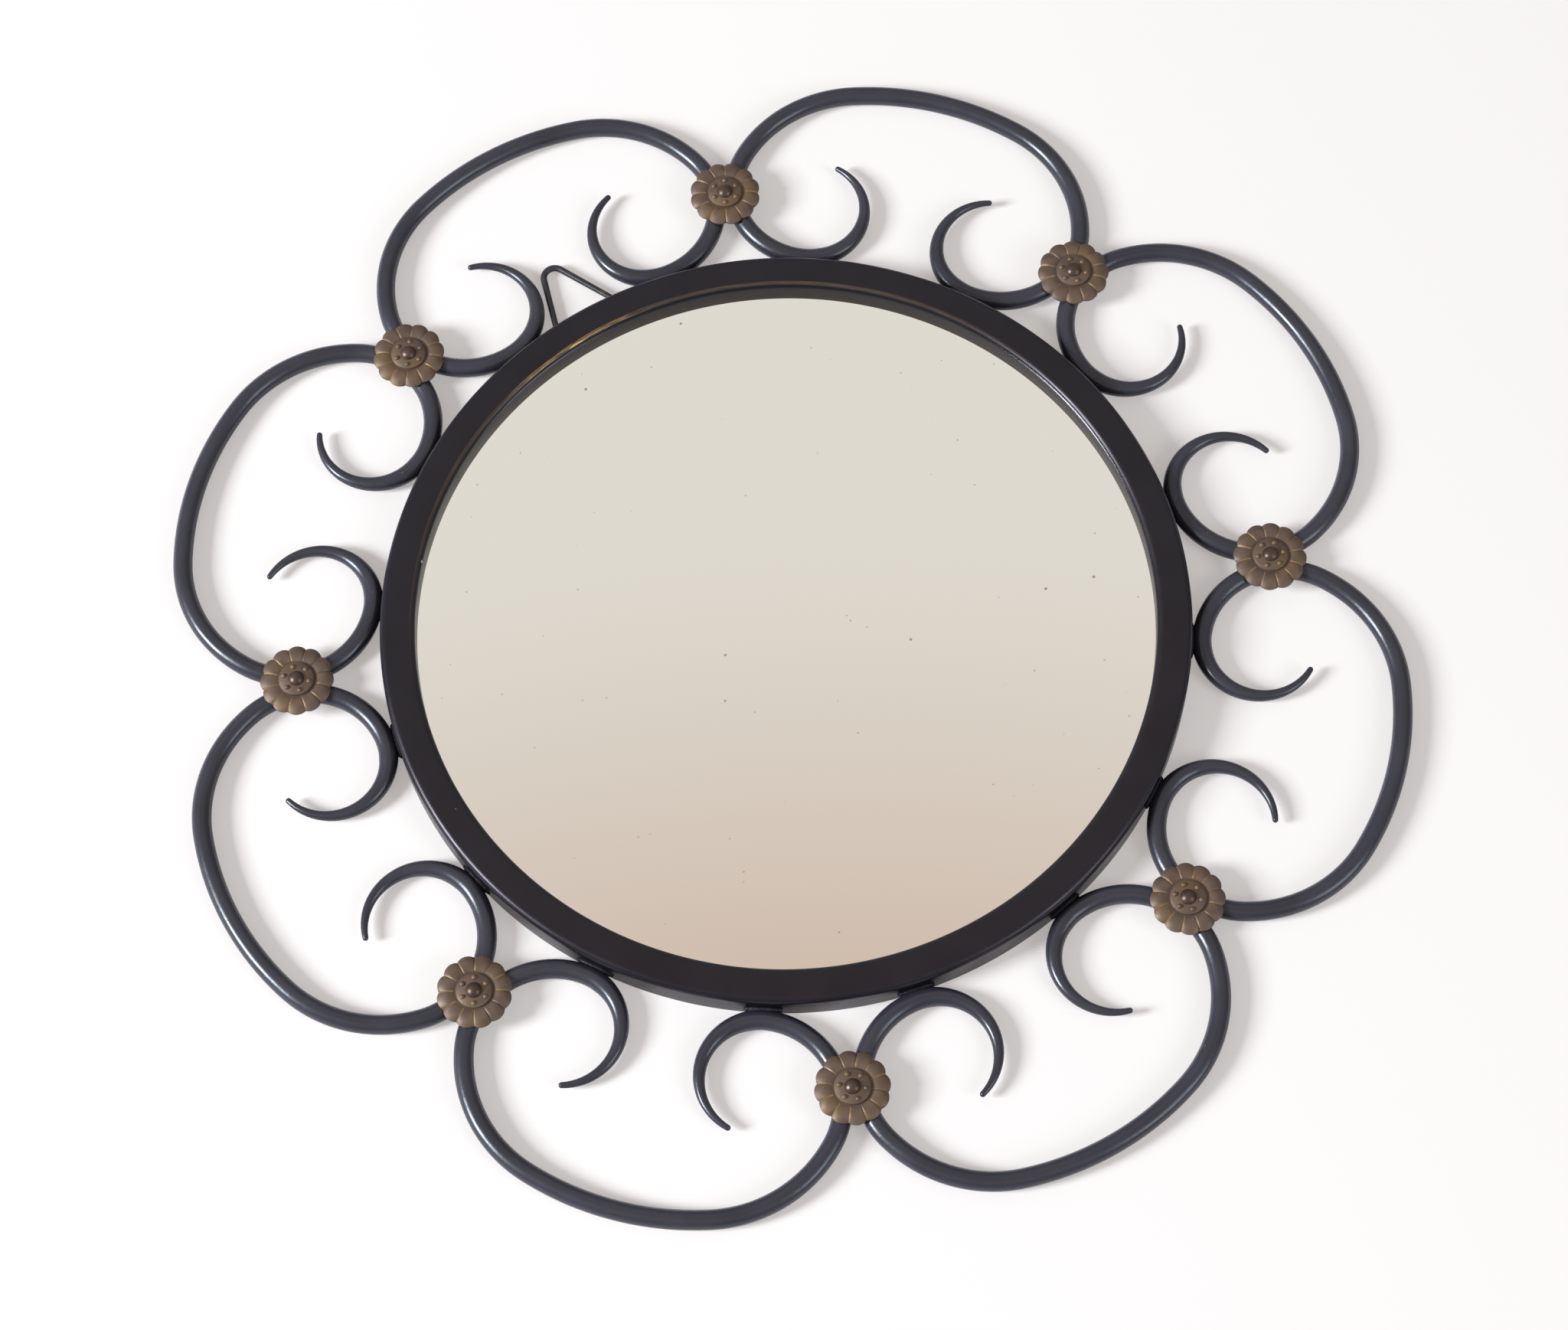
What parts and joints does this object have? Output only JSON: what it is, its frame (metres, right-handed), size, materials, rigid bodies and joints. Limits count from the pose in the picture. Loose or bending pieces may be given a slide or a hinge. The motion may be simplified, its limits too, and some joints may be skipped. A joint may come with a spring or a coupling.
{
  "type": "wall mirror",
  "caption": "Round wall mirror in a black steel ring, framed by wrought C-scroll petals with brass rosettes riveted over their joints and a wire hanger.",
  "frame": {"origin": "middle of the ring, on the plane of its back edge", "axes": "+Z out of the front of the mirror, +Y from the middle towards the hanger, +X to the right seen from the front"},
  "size_m": [0.5516, 0.5516, 0.015],
  "materials": {
    "ring_black": "satin black paint, rubbed to bare brown at the inner edge",
    "bar_black": "satin black paint on round bar",
    "weld_black": "painted weld bead",
    "hanger_black": "satin black paint on wire",
    "aged_brass": "aged brown brass, brighter along the veins",
    "rivet_brass": "aged brown brass",
    "silvered_glass": "silvered glass with fine specks",
    "grey_card": "plain grey card",
    "hardboard": "brown hardboard",
    "plated_sheet": "plated sheet steel"
  },
  "bodies": {
    "root": {"back_board": "hardboard", "backing_card": "grey_card", "curl_welds_1": "weld_black", "curl_welds_2": "weld_black", "curl_welds_3": "weld_black", "curl_welds_4": "weld_black", "curl_welds_5": "weld_black", "curl_welds_6": "weld_black", "curl_welds_7": "weld_black", "curl_welds_8": "weld_black", "frame_ring": "ring_black", "hanger_loop": "hanger_black", "hanger_welds": "weld_black", "mirror_glass": "silvered_glass", "retaining_tabs": "plated_sheet", "rosette_1": "aged_brass", "rosette_2": "aged_brass", "rosette_3": "aged_brass", "rosette_4": "aged_brass", "rosette_5": "aged_brass", "rosette_6": "aged_brass", "rosette_7": "aged_brass", "rosette_8": "aged_brass", "rosette_rivet_1": "rivet_brass", "rosette_rivet_2": "rivet_brass", "rosette_rivet_3": "rivet_brass", "rosette_rivet_4": "rivet_brass", "rosette_rivet_5": "rivet_brass", "rosette_rivet_6": "rivet_brass", "rosette_rivet_7": "rivet_brass", "rosette_rivet_8": "rivet_brass", "scroll_1": "bar_black", "scroll_2": "bar_black", "scroll_3": "bar_black", "scroll_4": "bar_black", "scroll_5": "bar_black", "scroll_6": "bar_black", "scroll_7": "bar_black", "scroll_8": "bar_black"}
  },
  "joints": []
}
